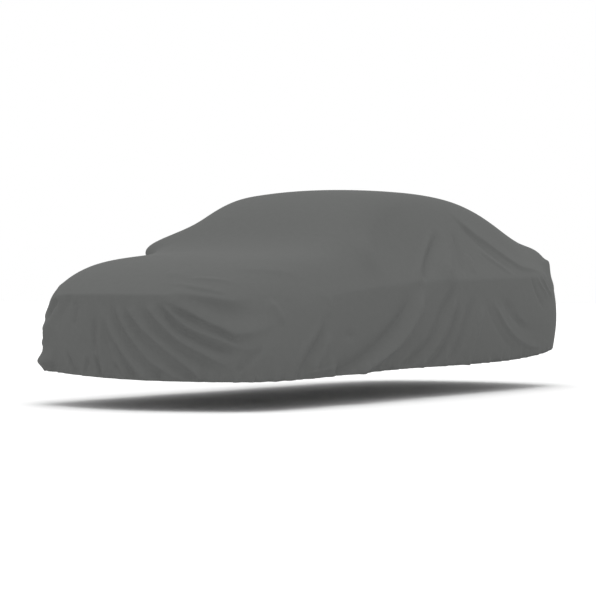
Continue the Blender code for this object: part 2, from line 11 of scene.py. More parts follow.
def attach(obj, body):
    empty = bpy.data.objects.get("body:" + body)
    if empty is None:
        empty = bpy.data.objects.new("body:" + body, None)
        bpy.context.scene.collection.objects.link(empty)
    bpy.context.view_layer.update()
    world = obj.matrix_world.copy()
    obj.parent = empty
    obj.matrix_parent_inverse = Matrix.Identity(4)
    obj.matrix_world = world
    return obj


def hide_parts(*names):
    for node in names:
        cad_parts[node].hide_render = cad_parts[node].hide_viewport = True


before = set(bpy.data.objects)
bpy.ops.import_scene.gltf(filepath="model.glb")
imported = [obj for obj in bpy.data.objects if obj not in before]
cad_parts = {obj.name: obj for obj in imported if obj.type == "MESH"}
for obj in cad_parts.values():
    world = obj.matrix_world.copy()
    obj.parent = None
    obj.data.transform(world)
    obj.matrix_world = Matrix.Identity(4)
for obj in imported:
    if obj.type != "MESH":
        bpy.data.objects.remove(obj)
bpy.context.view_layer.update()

# The sheet as it lies over a saloon car, without its folds. Metres; heights are above the ground.
sheet = {
    "roofHeight": 1.412,  # under the cloth at the crown, which is the frame's origin
    "thickness": 0.0020,
    "courseLevels": 4,  # subdivisions of the smooth sheet that the folds are laid on
    "clothLevels": 5,
    "triangles": 97000,  # kept in the open sheet, where the folds need them
    "topPoints": 3,  # from the middle to the top's edge, then sill, belt, wall, low and hem
    "columns": ("y", "sweep", "crownZ", "edgeX", "edgeZ", "sillX", "sillZ", "beltX", "beltZ",
                "wallX", "wallZ", "lowX", "lowZ", "hemX", "hemZ"),
    "sections": (  # nose to tail; sweep is how far a section's ends lie towards the tail
        (-2.58, 0.24, 0.690, 0.46, 0.687, 0.63, 0.677, 0.74, 0.64, 0.77, 0.52, 0.80, 0.34, 0.76, 0.175),
        (-2.42, 0.19, 0.806, 0.50, 0.801, 0.67, 0.781, 0.79, 0.70, 0.84, 0.53, 0.875, 0.34, 0.84, 0.175),
        (-2.12, 0.12, 0.905, 0.54, 0.895, 0.71, 0.868, 0.83, 0.74, 0.88, 0.55, 0.90, 0.34, 0.87, 0.177),
        (-1.80, 0.05, 0.945, 0.57, 0.930, 0.74, 0.890, 0.865, 0.66, 0.895, 0.56, 0.90, 0.35, 0.88, 0.180),
        (-1.45, 0.00, 0.976, 0.60, 0.950, 0.76, 0.905, 0.88, 0.70, 0.90, 0.57, 0.90, 0.35, 0.88, 0.185),
        (-1.20, -0.03, 1.064, 0.62, 1.020, 0.77, 0.945, 0.885, 0.72, 0.90, 0.58, 0.90, 0.36, 0.88, 0.190),
        (-0.95, 0.00, 1.254, 0.62, 1.200, 0.77, 0.960, 0.885, 0.74, 0.90, 0.58, 0.90, 0.36, 0.88, 0.195),
        (-0.65, 0.00, 1.382, 0.61, 1.332, 0.76, 0.970, 0.885, 0.765, 0.90, 0.58, 0.90, 0.36, 0.88, 0.198),
        (-0.35, 0.00, 1.408, 0.60, 1.362, 0.76, 0.975, 0.885, 0.78, 0.90, 0.58, 0.90, 0.36, 0.88, 0.200),
        (0.05, 0.00, 1.419, 0.58, 1.375, 0.76, 0.980, 0.885, 0.785, 0.90, 0.59, 0.90, 0.37, 0.88, 0.203),
        (0.45, 0.00, 1.409, 0.57, 1.365, 0.76, 0.985, 0.885, 0.795, 0.90, 0.60, 0.90, 0.38, 0.88, 0.208),
        (0.80, 0.00, 1.378, 0.56, 1.332, 0.75, 0.990, 0.88, 0.80, 0.90, 0.61, 0.90, 0.39, 0.88, 0.215),
        (1.10, 0.00, 1.305, 0.56, 1.255, 0.74, 0.990, 0.87, 0.81, 0.895, 0.62, 0.895, 0.41, 0.87, 0.230),
        (1.35, -0.02, 1.205, 0.56, 1.160, 0.72, 0.970, 0.855, 0.82, 0.885, 0.63, 0.885, 0.43, 0.86, 0.245),
        (1.60, -0.06, 1.105, 0.57, 1.080, 0.70, 0.950, 0.82, 0.83, 0.86, 0.63, 0.86, 0.45, 0.83, 0.265),
        (1.82, -0.12, 1.072, 0.57, 1.054, 0.70, 0.970, 0.775, 0.82, 0.82, 0.63, 0.82, 0.46, 0.79, 0.285),
        (1.95, -0.18, 1.047, 0.55, 1.030, 0.67, 0.965, 0.72, 0.81, 0.74, 0.62, 0.76, 0.46, 0.72, 0.295),
    ),
    "noseCrease": 0.7,  # how tight the bonnet's front edge is, from 0 to 1
    "beltCrease": 0.75,  # and the doors' upper edge, over these sections
    "beltRows": (3, 14),
    "mirrorColumns": ("side", "round", "height", "reach", "out"),
    "mirrorStretch": (0.8, 1.0, 0.95),  # under 1 makes a mirror's swelling longer along that axis
    "mirrors": (  # the door mirrors under the cloth, and how far out they hold it
        (-1, -2.260, 1.000, 0.135, 0.215),
        (1, 2.308, 0.960, 0.130, 0.030),
    ),
    "liftColumns": ("round", "halfLength", "lift"),
    "lifts": (  # stretches of hem that the elastic draws up
        (-0.85, 0.80, 0.038),
        (-1.70, 0.45, 0.020),
        (2.60, 0.80, 0.006),
    ),
    "liftReach": 0.35,  # the height over which a lift fades
    "liftFrom": 0.20,  # its height at full strength
    "liftTop": 1.20,  # nothing above this moves
    "gathers": ((0.170, 0.004), (0.107, 0.003), (0.061, 0.001)),  # length round the hem, depth
    "gatherReach": 0.08,
    "gatherFrom": 0.19,
    "gatherDrift": (0.4, 1.7),  # how far and how often the gathers run early or late
}

# A fold's "round" is measured on this rounded rectangle from the nose's middle, and is negative on the right.
ruler = {"halfWidth": 0.90, "front": -2.58, "rear": 1.95, "corner": 0.40, "marks": 2400}

# The folds, each with its half widths left and right of its course as seen from outside, its rise off the
# smooth sheet (a trough's is negative), and the shares of its length over which it grows and dies.
folds = {
    "steps": 24,  # straight steps in which a course is followed
    "crest": 1.7,  # 2 is a round crest, 1 a sharp one
    "reach": 3.0,  # half widths past which a fold moves nothing
    "columns": ("name", "left", "right", "rise", "grow", "die", "course"),
    "rows": (
        # the nose and its left corner
        ("corner swag", 0.070, 0.022, 0.026, 0.12, 0.45,
         ((0.30, 0.67), (0.39, 0.63), (0.58, 0.54), (0.73, 0.50), (0.86, 0.46), (1.07, 0.49), (1.20, 0.55))),
        ("swag trough", 0.016, 0.018, -0.007, 0.15, 0.1,
         ((0.36, 0.63), (0.47, 0.56), (0.58, 0.52), (0.73, 0.47), (0.86, 0.42))),
        ("second swag", 0.028, 0.018, 0.018, 0.12, 0.4,
         ((0.31, 0.63), (0.40, 0.55), (0.50, 0.48), (0.69, 0.43), (0.87, 0.38), (1.00, 0.37), (1.08, 0.39))),
        ("second trough", 0.018, 0.026, -0.014, 0.12, 0.2,
         ((0.26, 0.65), (0.36, 0.53), (0.47, 0.45), (0.64, 0.39), (0.86, 0.34))),
        ("third ridge", 0.050, 0.016, 0.018, 0.12, 0.2,
         ((0.19, 0.64), (0.29, 0.53), (0.40, 0.43), (0.52, 0.36), (0.69, 0.30), (0.85, 0.25))),
        ("third trough", 0.018, 0.022, -0.008, 0.15, 0.2,
         ((0.14, 0.62), (0.26, 0.49), (0.37, 0.40), (0.47, 0.33), (0.64, 0.26), (0.75, 0.21))),
        ("fourth ridge", 0.034, 0.016, 0.015, 0.12, 0.0,
         ((0.07, 0.62), (0.18, 0.49), (0.30, 0.39), (0.39, 0.32), (0.54, 0.20))),
        ("fourth trough", 0.018, 0.020, -0.008, 0.15, 0.0,
         ((0.03, 0.62), (0.12, 0.49), (0.22, 0.39), (0.33, 0.30), (0.48, 0.20))),
        ("fifth ridge", 0.030, 0.016, 0.012, 0.12, 0.0,
         ((-0.01, 0.63), (0.04, 0.52), (0.14, 0.39), (0.24, 0.29), (0.39, 0.20))),
        ("fifth trough", 0.018, 0.022, -0.008, 0.15, 0.0,
         ((-0.05, 0.65), (-0.01, 0.53), (0.07, 0.40), (0.16, 0.29), (0.28, 0.20))),
        ("sixth ridge", 0.040, 0.024, 0.018, 0.3, 0.0,
         ((-0.11, 0.64), (-0.08, 0.54), (-0.01, 0.41), (0.07, 0.31), (0.18, 0.20))),
        ("sixth trough", 0.018, 0.028, -0.009, 0.3, 0.0,
         ((-0.05, 0.45), (-0.03, 0.41), (0.04, 0.30), (0.12, 0.20))),
        ("nose pleat", 0.026, 0.022, 0.014, 0.3, 0.0,
         ((-0.15, 0.66), (-0.13, 0.53), (-0.13, 0.39), (-0.11, 0.20))),
        ("nose pleat trough", 0.018, 0.018, -0.004, 0.3, 0.2,
         ((-0.10, 0.61), (-0.08, 0.45), (-0.05, 0.23))),
        ("nose strip", 0.016, 0.022, -0.010, 0.3, 0.3,
         ((-0.18, 0.58), (-0.18, 0.44), (-0.18, 0.30))),
        ("nose panel", 0.080, 0.080, 0.010, 0.4, 0.4,
         ((-0.30, 0.64), (-0.29, 0.52), (-0.28, 0.34))),
        ("far pleat", 0.022, 0.030, -0.012, 0.3, 0.3,
         ((-0.35, 0.67), (-0.36, 0.57), (-0.37, 0.46))),
        ("hollow under the lamp", 0.060, 0.050, -0.014, 0.2, 0.5,
         ((-0.40, 0.69), (-0.49, 0.60), (-0.58, 0.53), (-0.66, 0.44))),
        ("far corner ridge", 0.060, 0.050, 0.018, 0.3, 0.3,
         ((-0.62, 0.62), (-0.74, 0.54), (-0.84, 0.45), (-0.90, 0.34))),
        ("notch by the lamp", 0.060, 0.060, -0.030, 0.3, 0.3,
         ((-0.64, 0.68), (-0.74, 0.62), (-0.82, 0.56), (-0.88, 0.50))),
        ("far hem bulge", 0.050, 0.050, 0.058, 0.4, 0.4,
         ((-0.60, 0.23), (-0.80, 0.24), (-1.00, 0.24))),
        ("first hem tuck", 0.024, 0.018, -0.014, 0.5, 0.0,
         ((-0.46, 0.33), (-0.42, 0.26), (-0.38, 0.20))),
        ("second hem tuck", 0.020, 0.016, -0.012, 0.5, 0.0,
         ((-0.25, 0.31), (-0.25, 0.26), (-0.27, 0.20))),
        ("third hem tuck", 0.022, 0.016, -0.014, 0.5, 0.0,
         ((-0.19, 0.33), (-0.16, 0.26), (-0.13, 0.20))),
        ("fourth hem tuck", 0.018, 0.016, -0.010, 0.5, 0.0,
         ((-0.04, 0.28), (-0.01, 0.24), (0.03, 0.19))),
        ("corner crease", 0.050, 0.020, 0.006, 0.2, 0.0,
         ((1.10, 0.40), (1.05, 0.36), (0.95, 0.30), (0.86, 0.23), (0.83, 0.19))),
        ("corner tuck", 0.016, 0.030, -0.012, 0.2, 0.0,
         ((1.06, 0.38), (0.96, 0.32), (0.87, 0.25), (0.83, 0.19))),
        # the left wing and bonnet edge
        ("wing pocket", 0.060, 0.085, -0.021, 0.3, 0.5,
         ((0.36, 0.69), (0.55, 0.64), (0.75, 0.60), (0.95, 0.57), (1.12, 0.58))),
        ("over the pocket", 0.030, 0.032, 0.009, 0.15, 0.4,
         ((0.33, 0.72), (0.49, 0.69), (0.71, 0.66), (0.93, 0.66), (1.09, 0.71))),
        ("wing crease", 0.026, 0.016, 0.010, 0.3, 0.4,
         ((0.27, 0.76), (0.47, 0.73), (0.65, 0.71), (0.89, 0.68))),
        ("upper wing crease", 0.022, 0.016, 0.008, 0.3, 0.4,
         ((0.36, 0.79), (0.49, 0.78), (0.76, 0.77), (0.96, 0.75))),
        ("windscreen foot crease", 0.050, 0.030, 0.008, 0.3, 0.4,
         ((0.96, 0.84), (1.30, 0.83), (1.62, 0.80))),
        ("windscreen crease", 0.050, 0.030, 0.007, 0.3, 0.4,
         ((0.19, 1.36), (0.35, 1.27), (0.47, 1.15))),
        ("pocket's end", 0.030, 0.030, 0.012, 0.3, 0.3,
         ((1.14, 0.66), (1.20, 0.58), (1.22, 0.50))),
        # the left side
        ("front wheel ridge", 0.030, 0.026, 0.010, 0.3, 0.0,
         ((1.60, 0.58), (1.57, 0.51), (1.50, 0.44), (1.41, 0.37), (1.35, 0.29), (1.30, 0.19))),
        ("front wheel trough", 0.030, 0.026, -0.016, 0.3, 0.0,
         ((1.64, 0.56), (1.60, 0.45), (1.51, 0.36), (1.43, 0.28), (1.37, 0.20))),
        ("front of the door", 0.030, 0.012, 0.008, 0.3, 0.3,
         ((1.72, 0.70), (1.70, 0.62), (1.66, 0.54))),
        ("second wheel ridge", 0.040, 0.028, 0.020, 0.3, 0.2,
         ((1.69, 0.48), (1.66, 0.42), (1.59, 0.33), (1.52, 0.26), (1.47, 0.21))),
        ("wheel dimple", 0.030, 0.026, -0.010, 0.4, 0.4,
         ((1.84, 0.46), (1.93, 0.43), (2.00, 0.42))),
        ("wheel hem fold", 0.012, 0.022, 0.014, 0.3, 0.4,
         ((1.36, 0.195), (1.51, 0.222), (1.65, 0.232), (1.84, 0.25))),
        ("upper door fold", 0.036, 0.026, 0.014, 0.3, 0.2,
         ((3.34, 1.16), (3.18, 1.05), (3.04, 0.96), (2.90, 0.87), (2.80, 0.79), (2.76, 0.70))),
        ("upper door trough", 0.044, 0.028, -0.015, 0.2, 0.15,
         ((3.40, 1.12), (3.21, 1.01), (3.06, 0.92), (2.93, 0.82), (2.86, 0.74))),
        ("door trough", 0.030, 0.046, -0.022, 0.3, 0.05,
         ((2.71, 0.72), (2.66, 0.65), (2.57, 0.56), (2.45, 0.47),
          (2.30, 0.39), (2.14, 0.31), (1.97, 0.25), (1.76, 0.20))),
        ("door fold", 0.036, 0.060, 0.044, 0.2, 0.0,
         ((2.88, 0.74), (2.82, 0.66), (2.73, 0.55), (2.61, 0.45), (2.47, 0.36), (2.28, 0.28), (2.05, 0.20))),
        ("cabin crease", 0.060, 0.110, 0.008, 0.3, 0.3,
         ((3.27, 1.38), (2.73, 1.23), (2.47, 1.09), (2.30, 0.97), (2.11, 0.80))),
        ("pillar facet", 0.055, 0.100, 0.032, 0.85, 0.30,
         ((3.56, 1.17), (3.44, 1.03), (3.34, 0.92), (3.24, 0.82), (3.17, 0.72))),
        ("beside the facet", 0.045, 0.022, -0.013, 0.3, 0.3,
         ((3.60, 1.14), (3.56, 1.01), (3.52, 0.91), (3.44, 0.80))),
        ("rear door trough", 0.026, 0.040, -0.020, 0.2, 0.0,
         ((3.34, 0.78), (3.19, 0.65), (3.07, 0.54), (3.00, 0.45), (2.93, 0.37), (2.83, 0.31), (2.64, 0.22))),
        ("rear door ridge", 0.024, 0.026, 0.014, 0.25, 0.0,
         ((3.33, 0.71), (3.26, 0.62), (3.18, 0.52), (3.10, 0.42), (3.01, 0.34), (2.84, 0.22))),
        ("arch front trough", 0.024, 0.024, -0.016, 0.25, 0.0,
         ((3.36, 0.66), (3.30, 0.57), (3.24, 0.47), (3.17, 0.38), (3.09, 0.30), (2.96, 0.22))),
        ("arch front ridge", 0.036, 0.026, 0.012, 0.3, 0.0,
         ((3.44, 0.65), (3.36, 0.53), (3.29, 0.42), (3.21, 0.31), (3.11, 0.22))),
        ("arch hollow", 0.030, 0.050, -0.018, 0.3, 0.1,
         ((3.59, 0.67), (3.48, 0.57), (3.41, 0.47), (3.34, 0.36), (3.22, 0.24))),
        ("arch tongue", 0.034, 0.042, 0.026, 0.3, 0.0,
         ((3.69, 0.62), (3.61, 0.51), (3.54, 0.38), (3.45, 0.20))),
        ("quarter hollow", 0.030, 0.026, -0.006, 0.2, 0.2,
         ((3.70, 0.68), (3.77, 0.56), (3.89, 0.44), (4.06, 0.33), (4.23, 0.27))),
        ("quarter ridge", 0.034, 0.018, 0.014, 0.2, 0.3,
         ((3.78, 0.69), (3.88, 0.57), (4.01, 0.46), (4.19, 0.37), (4.43, 0.31), (4.72, 0.29))),
        ("over the quarter ridge", 0.050, 0.030, -0.014, 0.25, 0.5,
         ((3.90, 0.68), (4.06, 0.57), (4.27, 0.46), (4.59, 0.39))),
        ("quarter dimple", 0.030, 0.024, -0.004, 0.4, 0.4,
         ((3.97, 0.65), (4.06, 0.61), (4.18, 0.57))),
        ("quarter crease", 0.022, 0.018, 0.006, 0.4, 0.4,
         ((4.14, 0.58), (4.24, 0.52), (4.38, 0.47))),
        ("pillar ridge", 0.080, 0.022, 0.017, 0.15, 0.4,
         ((3.68, 1.29), (3.83, 1.15), (4.03, 1.05), (4.23, 0.95), (4.39, 0.88), (4.64, 0.86), (4.92, 0.81))),
        ("under the pillar ridge", 0.024, 0.040, -0.006, 0.15, 0.3,
         ((3.74, 1.18), (3.87, 1.07), (4.03, 0.97), (4.19, 0.89), (4.34, 0.83))),
        ("lower pillar crease", 0.030, 0.020, 0.010, 0.3, 0.4,
         ((3.84, 1.02), (3.98, 0.93), (4.12, 0.86), (4.24, 0.81))),
        ("pillar side crease", 0.030, 0.030, 0.010, 0.3, 0.3,
         ((3.66, 0.98), (3.64, 0.90), (3.60, 0.82))),
        ("boot edge", 0.026, 0.070, 0.024, 0.3, 0.3,
         ((4.86, 0.94), (5.05, 0.92), (5.40, 0.93), (5.80, 0.94))),
        ("tail corner hollow", 0.022, 0.026, -0.010, 0.25, 0.3,
         ((4.46, 0.82), (4.50, 0.76), (4.56, 0.67), (4.67, 0.58))),
        ("tail corner fold", 0.022, 0.018, 0.010, 0.25, 0.3,
         ((4.56, 0.82), (4.64, 0.74), (4.78, 0.65))),
        ("second tail corner fold", 0.018, 0.016, 0.011, 0.25, 0.3,
         ((4.66, 0.83), (4.76, 0.73), (4.90, 0.64))),
        # the tail
        ("tail swag", 0.034, 0.030, 0.024, 0.4, 0.4,
         ((4.98, 0.84), (5.16, 0.70), (5.50, 0.60), (5.90, 0.57))),
        ("tail swag hollow", 0.036, 0.040, -0.018, 0.4, 0.4,
         ((5.02, 0.74), (5.22, 0.60), (5.54, 0.51), (5.88, 0.49))),
        ("tail right swag", 0.030, 0.034, 0.022, 0.4, 0.5,
         ((-5.06, 0.82), (-5.24, 0.68), (-5.52, 0.59))),
        ("second tail swag", 0.030, 0.034, 0.018, 0.3, 0.4,
         ((5.06, 0.64), (5.22, 0.50), (5.52, 0.42), (5.84, 0.41))),
        ("tail right hollow", 0.034, 0.034, -0.018, 0.3, 0.4,
         ((-5.10, 0.70), (-5.28, 0.56), (-5.56, 0.48))),
        ("second tail right swag", 0.030, 0.030, 0.017, 0.3, 0.4,
         ((-5.08, 0.56), (-5.26, 0.43), (-5.56, 0.36))),
        ("boot lid crease", 0.030, 0.022, 0.012, 0.4, 0.4,
         ((-5.30, 0.88), (-5.62, 0.82), (5.90, 0.80))),
        ("tail left pleat", 0.030, 0.030, 0.022, 0.3, 0.0,
         ((5.20, 0.58), (5.32, 0.44), (5.50, 0.29))),
        ("tail middle pleat", 0.028, 0.030, 0.018, 0.3, 0.0,
         ((5.88, 0.50), (5.92, 0.40), (5.86, 0.29))),
        ("tail right pleat", 0.032, 0.028, 0.022, 0.3, 0.0,
         ((-5.24, 0.60), (-5.38, 0.44), (-5.60, 0.29))),
        # the right side, much like the left but with its folds elsewhere
        ("right pillar ridge", 0.040, 0.070, 0.046, 0.2, 0.3,
         ((-3.70, 1.29), (-3.88, 1.17), (-4.12, 1.01), (-4.38, 0.89), (-4.70, 0.84), (-5.00, 0.82))),
        ("under the right ridge", 0.060, 0.035, -0.024, 0.2, 0.4,
         ((-3.80, 1.16), (-4.04, 1.00), (-4.28, 0.89), (-4.50, 0.81))),
        ("right door fold", 0.045, 0.060, 0.030, 0.2, 0.0,
         ((-3.02, 1.10), (-2.86, 0.95), (-2.74, 0.78), (-2.66, 0.58), (-2.44, 0.38), (-2.16, 0.20))),
        ("right door hollow", 0.060, 0.050, -0.032, 0.4, 0.1,
         ((-2.60, 0.68), (-2.46, 0.50), (-2.24, 0.36), (-1.96, 0.24))),
        ("right rear door hollow", 0.045, 0.045, -0.026, 0.3, 0.0,
         ((-3.36, 0.78), (-3.26, 0.60), (-3.12, 0.42), (-2.92, 0.24))),
        ("right arch tongue", 0.060, 0.060, 0.026, 0.4, 0.2,
         ((-3.78, 0.60), (-3.64, 0.46), (-3.52, 0.27))),
        ("right quarter ridge", 0.030, 0.050, 0.028, 0.3, 0.2,
         ((-3.88, 0.70), (-4.00, 0.54), (-4.20, 0.38), (-4.56, 0.28))),
        ("right wheel trough", 0.036, 0.036, -0.024, 0.3, 0.0,
         ((-1.66, 0.55), (-1.58, 0.40), (-1.44, 0.20))),
        ("right corner swag", 0.026, 0.055, 0.026, 0.3, 0.4,
         ((-0.92, 0.60), (-1.14, 0.50), (-1.36, 0.52), (-1.56, 0.60))),
        ("right corner hollow", 0.045, 0.030, -0.026, 0.3, 0.4,
         ((-0.96, 0.48), (-1.16, 0.40), (-1.40, 0.43))),
        ("second right swag", 0.026, 0.034, 0.018, 0.2, 0.3,
         ((-0.94, 0.50), (-1.12, 0.36), (-1.32, 0.27))),
        ("right nose ridge", 0.026, 0.026, 0.014, 0.25, 0.0,
         ((-0.98, 0.40), (-1.10, 0.29), (-1.18, 0.19))),
        ("right wing crease", 0.028, 0.022, 0.010, 0.3, 0.4,
         ((-0.92, 0.75), (-1.14, 0.73), (-1.42, 0.73))),
        ("right wheel ridge", 0.028, 0.034, 0.016, 0.3, 0.0,
         ((-1.77, 0.58), (-1.70, 0.43), (-1.60, 0.30), (-1.55, 0.21))),
        ("right upper door fold", 0.030, 0.036, 0.016, 0.25, 0.2,
         ((-3.42, 1.14), (-3.30, 1.02), (-3.20, 0.92), (-3.15, 0.80))),
        ("right rear door ridge", 0.026, 0.030, 0.017, 0.25, 0.0,
         ((-3.30, 0.72), (-3.21, 0.57), (-3.08, 0.42), (-2.88, 0.24))),
        ("right arch trough", 0.028, 0.032, -0.016, 0.25, 0.0,
         ((-3.52, 0.68), (-3.44, 0.52), (-3.31, 0.37), (-3.16, 0.24))),
        ("right quarter trough", 0.028, 0.034, -0.016, 0.25, 0.2,
         ((-4.04, 0.67), (-4.16, 0.54), (-4.36, 0.42), (-4.66, 0.36))),
        ("right tail corner fold", 0.026, 0.026, 0.014, 0.25, 0.3,
         ((-4.48, 0.82), (-4.59, 0.70), (-4.74, 0.57))),
        ("second right tail corner fold", 0.024, 0.022, 0.012, 0.25, 0.3,
         ((-4.64, 0.83), (-4.77, 0.71), (-4.94, 0.60))),
    ),
}


def halfSection(row):  # a section's points from its middle to its hem
    size = dict(zip(sheet["columns"], row))
    points = []
    for k in range(sheet["topPoints"] + 1):
        share = k / sheet["topPoints"]
        drop = (size["crownZ"] - size["edgeZ"]) * share**2
        points.append((size["edgeX"] * share, size["crownZ"] - drop))
    for name in ("sill", "belt", "wall", "low", "hem"):
        points.append((size[name + "X"], size[name + "Z"]))
    widest = size["beltX"]
    return [(x, size["y"] + size["sweep"] * min(x / widest, 1.0) ** 2, z - sheet["roofHeight"])
            for x, z in points]


def endPoint(section, belt, column, row):  # a point of the nose's or the tail's face
    spread = section[abs(column)][0] / section[belt][0]
    corner = section[row]
    middle = section[0][1] + corner[1] - section[belt][1]
    return (math.copysign(spread, column) * corner[0], middle + (corner[1] - middle) * spread**2, corner[2])


def makeCage():  # sections lofted nose to tail, and a face of the same rows at each end
    sections = [halfSection(row) for row in sheet["sections"]]
    half = sheet["topPoints"] + 5
    belt = sheet["topPoints"] + 2
    bm = bmesh.new()
    grid = {}
    for i, section in enumerate(sections):
        for g in range(-half, half + 1):
            x, y, z = section[abs(g)]
            grid[i, g] = bm.verts.new((math.copysign(x, g), y, z))
    for i in range(len(sections) - 1):
        for g in range(-half, half):
            bm.faces.new((grid[i, g], grid[i + 1, g], grid[i + 1, g + 1], grid[i, g + 1]))
    for i in (0, len(sections) - 1):
        end = {(belt, c): grid[i, c] for c in range(-belt, belt + 1)}
        for row in range(belt + 1, half + 1):
            end[row, -belt] = grid[i, -row]
            end[row, belt] = grid[i, row]
            for c in range(-belt + 1, belt):
                end[row, c] = bm.verts.new(endPoint(sections[i], belt, c, row))
        for row in range(belt, half):
            for c in range(-belt, belt):
                bm.faces.new((end[row, c], end[row, c + 1], end[row + 1, c + 1], end[row + 1, c]))
    crease = bm.edges.layers.float.new("crease_edge")
    for g in range(-belt, belt):
        bm.edges.get((grid[0, g], grid[0, g + 1]))[crease] = sheet["noseCrease"]
    for i in range(*sheet["beltRows"]):
        for g in (-belt, belt):
            bm.edges.get((grid[i, g], grid[i + 1, g]))[crease] = sheet["beltCrease"]
    bmesh.ops.recalc_face_normals(bm, faces=bm.faces)
    mesh = bpy.data.meshes.new("cage")
    bm.to_mesh(mesh)
    bm.free()
    return mesh


def applyModifier(thing, kind, **settings):
    modifier = thing.modifiers.new(kind.lower(), kind)
    for name, value in settings.items():
        setattr(modifier, name, value)
    bpy.ops.object.select_all(action="DESELECT")
    thing.select_set(True)
    bpy.context.view_layer.objects.active = thing
    bpy.ops.object.modifier_apply(modifier=modifier.name)


def smoothSheet(name, levels):
    thing = bpy.data.objects.new(name, makeCage())
    bpy.context.scene.collection.objects.link(thing)
    applyModifier(thing, "SUBSURF", levels=levels, render_levels=levels, boundary_smooth="ALL")
    return thing


def pointsOf(mesh, source="vertices", field="co"):
    things = getattr(mesh, source)
    flat = np.empty(len(things) * 3)
    things.foreach_get(field, flat)
    return flat.reshape(-1, 3)


def rulerAt(roundAt):  # the place and the outward direction, in plan, at a distance round the ruler
    side = math.copysign(1.0, roundAt)
    left = abs(roundAt)
    corner = ruler["corner"]
    front = ruler["halfWidth"] - corner
    quarter = math.pi / 2 * corner
    straight = ruler["rear"] - ruler["front"] - 2 * corner
    if left < front:
        return Vector((side * left, ruler["front"], 0.0)), Vector((0.0, -1.0, 0.0))
    left -= front
    if left < quarter:
        out = Vector((side * math.sin(left / corner), -math.cos(left / corner), 0.0))
        return Vector((side * front, ruler["front"] + corner, 0.0)) + out * corner, out
    left -= quarter
    if left < straight:
        place = Vector((side * ruler["halfWidth"], ruler["front"] + corner + left, 0.0))
        return place, Vector((side, 0.0, 0.0))
    left -= straight
    if left < quarter:
        out = Vector((side * math.cos(left / corner), math.sin(left / corner), 0.0))
        return Vector((side * front, ruler["rear"] - corner, 0.0)) + out * corner, out
    left -= quarter
    return Vector((side * (front - left), ruler["rear"], 0.0)), Vector((0.0, 1.0, 0.0))


def rulerHalf():  # half the way round, from the nose's middle to the tail's
    across = 2 * (ruler["halfWidth"] - ruler["corner"])
    along = ruler["rear"] - ruler["front"] - 2 * ruler["corner"]
    return across + along + math.pi * ruler["corner"]


def roundOf(points):  # the ruler's reading nearest to each point in plan
    half = rulerHalf()
    marks = np.linspace(-half, half, ruler["marks"], endpoint=False)
    tree = KDTree(len(marks))
    for i, mark in enumerate(marks):
        tree.insert(rulerAt(mark)[0], i)
    tree.balance()
    return np.array([marks[tree.find((x, y, 0.0))[1]] for x, y in points[:, :2]])


def layOn(tree, roundAt, height):  # the smooth sheet's point and normal, a distance round and a height up
    place, out = rulerAt(roundAt)
    start = place + out + Vector((0.0, 0.0, height - sheet["roofHeight"]))
    hit, normal = tree.ray_cast(start, -out, 2.0)[:2]
    if hit is None:
        hit, normal = tree.find_nearest(start - out)[:2]
    return hit, normal


def layCourse(tree, course):  # points and normals along a Catmull-Rom curve through a fold's few places
    half = rulerHalf()
    knots = [Vector(course[0])]
    for roundAt, height in course[1:]:
        turns = round((knots[-1].x - roundAt) / (2 * half))
        knots.append(Vector((roundAt + turns * 2 * half, height)))
    knots = [2 * knots[0] - knots[1]] + knots + [2 * knots[-1] - knots[-2]]
    points, normals = [], []
    for step in range(folds["steps"] + 1):
        at = step / folds["steps"] * (len(knots) - 3)
        i = min(int(at), len(knots) - 4)
        t = at - i
        a, b, c, d = knots[i:i + 4]
        bend = (2 * a - 5 * b + 4 * c - d) * t**2 + (3 * b - a - 3 * c + d) * t**3
        place = b + 0.5 * ((c - a) * t + bend)
        hit, normal = layOn(tree, (place.x + half) % (2 * half) - half, place.y)
        points.append(hit)
        normals.append(normal)
    return np.array(points), np.array(normals)


def smoothStep(t):
    t = np.clip(t, 0.0, 1.0)
    return t * t * (3 - 2 * t)


def addFold(rise, points, tree, row):  # adds one fold's rise to the points near its course
    size = dict(zip(folds["columns"], row))
    course, normals = layCourse(tree, size["course"])
    reach = folds["reach"] * max(size["left"], size["right"])
    near = np.all((points > course.min(0) - reach) & (points < course.max(0) + reach), axis=1).nonzero()[0]
    here = points[near]
    steps = np.diff(course, axis=0)
    lengths = np.linalg.norm(steps, axis=1).clip(1e-6)
    along = np.concatenate([[0.0], np.cumsum(lengths)])
    nearest = np.full(len(near), np.inf)
    share = np.zeros(len(near))
    onLeft = np.zeros(len(near), bool)
    for i, step in enumerate(steps):
        t = np.clip((here - course[i]) @ step / lengths[i] ** 2, 0.0, 1.0)
        offset = here - course[i] - t[:, None] * step
        away = np.linalg.norm(offset, axis=1)
        closer = away < nearest
        nearest[closer] = away[closer]
        share[closer] = (along[i] + t[closer] * lengths[i]) / along[-1]
        onLeft[closer] = (offset @ np.cross(normals[i], step))[closer] > 0
    ends = np.ones(len(near))
    if size["grow"] > 0:
        ends *= smoothStep(share / size["grow"])
    if size["die"] > 0:
        ends *= smoothStep((1 - share) / size["die"])
    width = np.where(onLeft, size["left"], size["right"])
    rise[near] += size["rise"] * ends * np.exp(-((nearest / width) ** folds["crest"]))


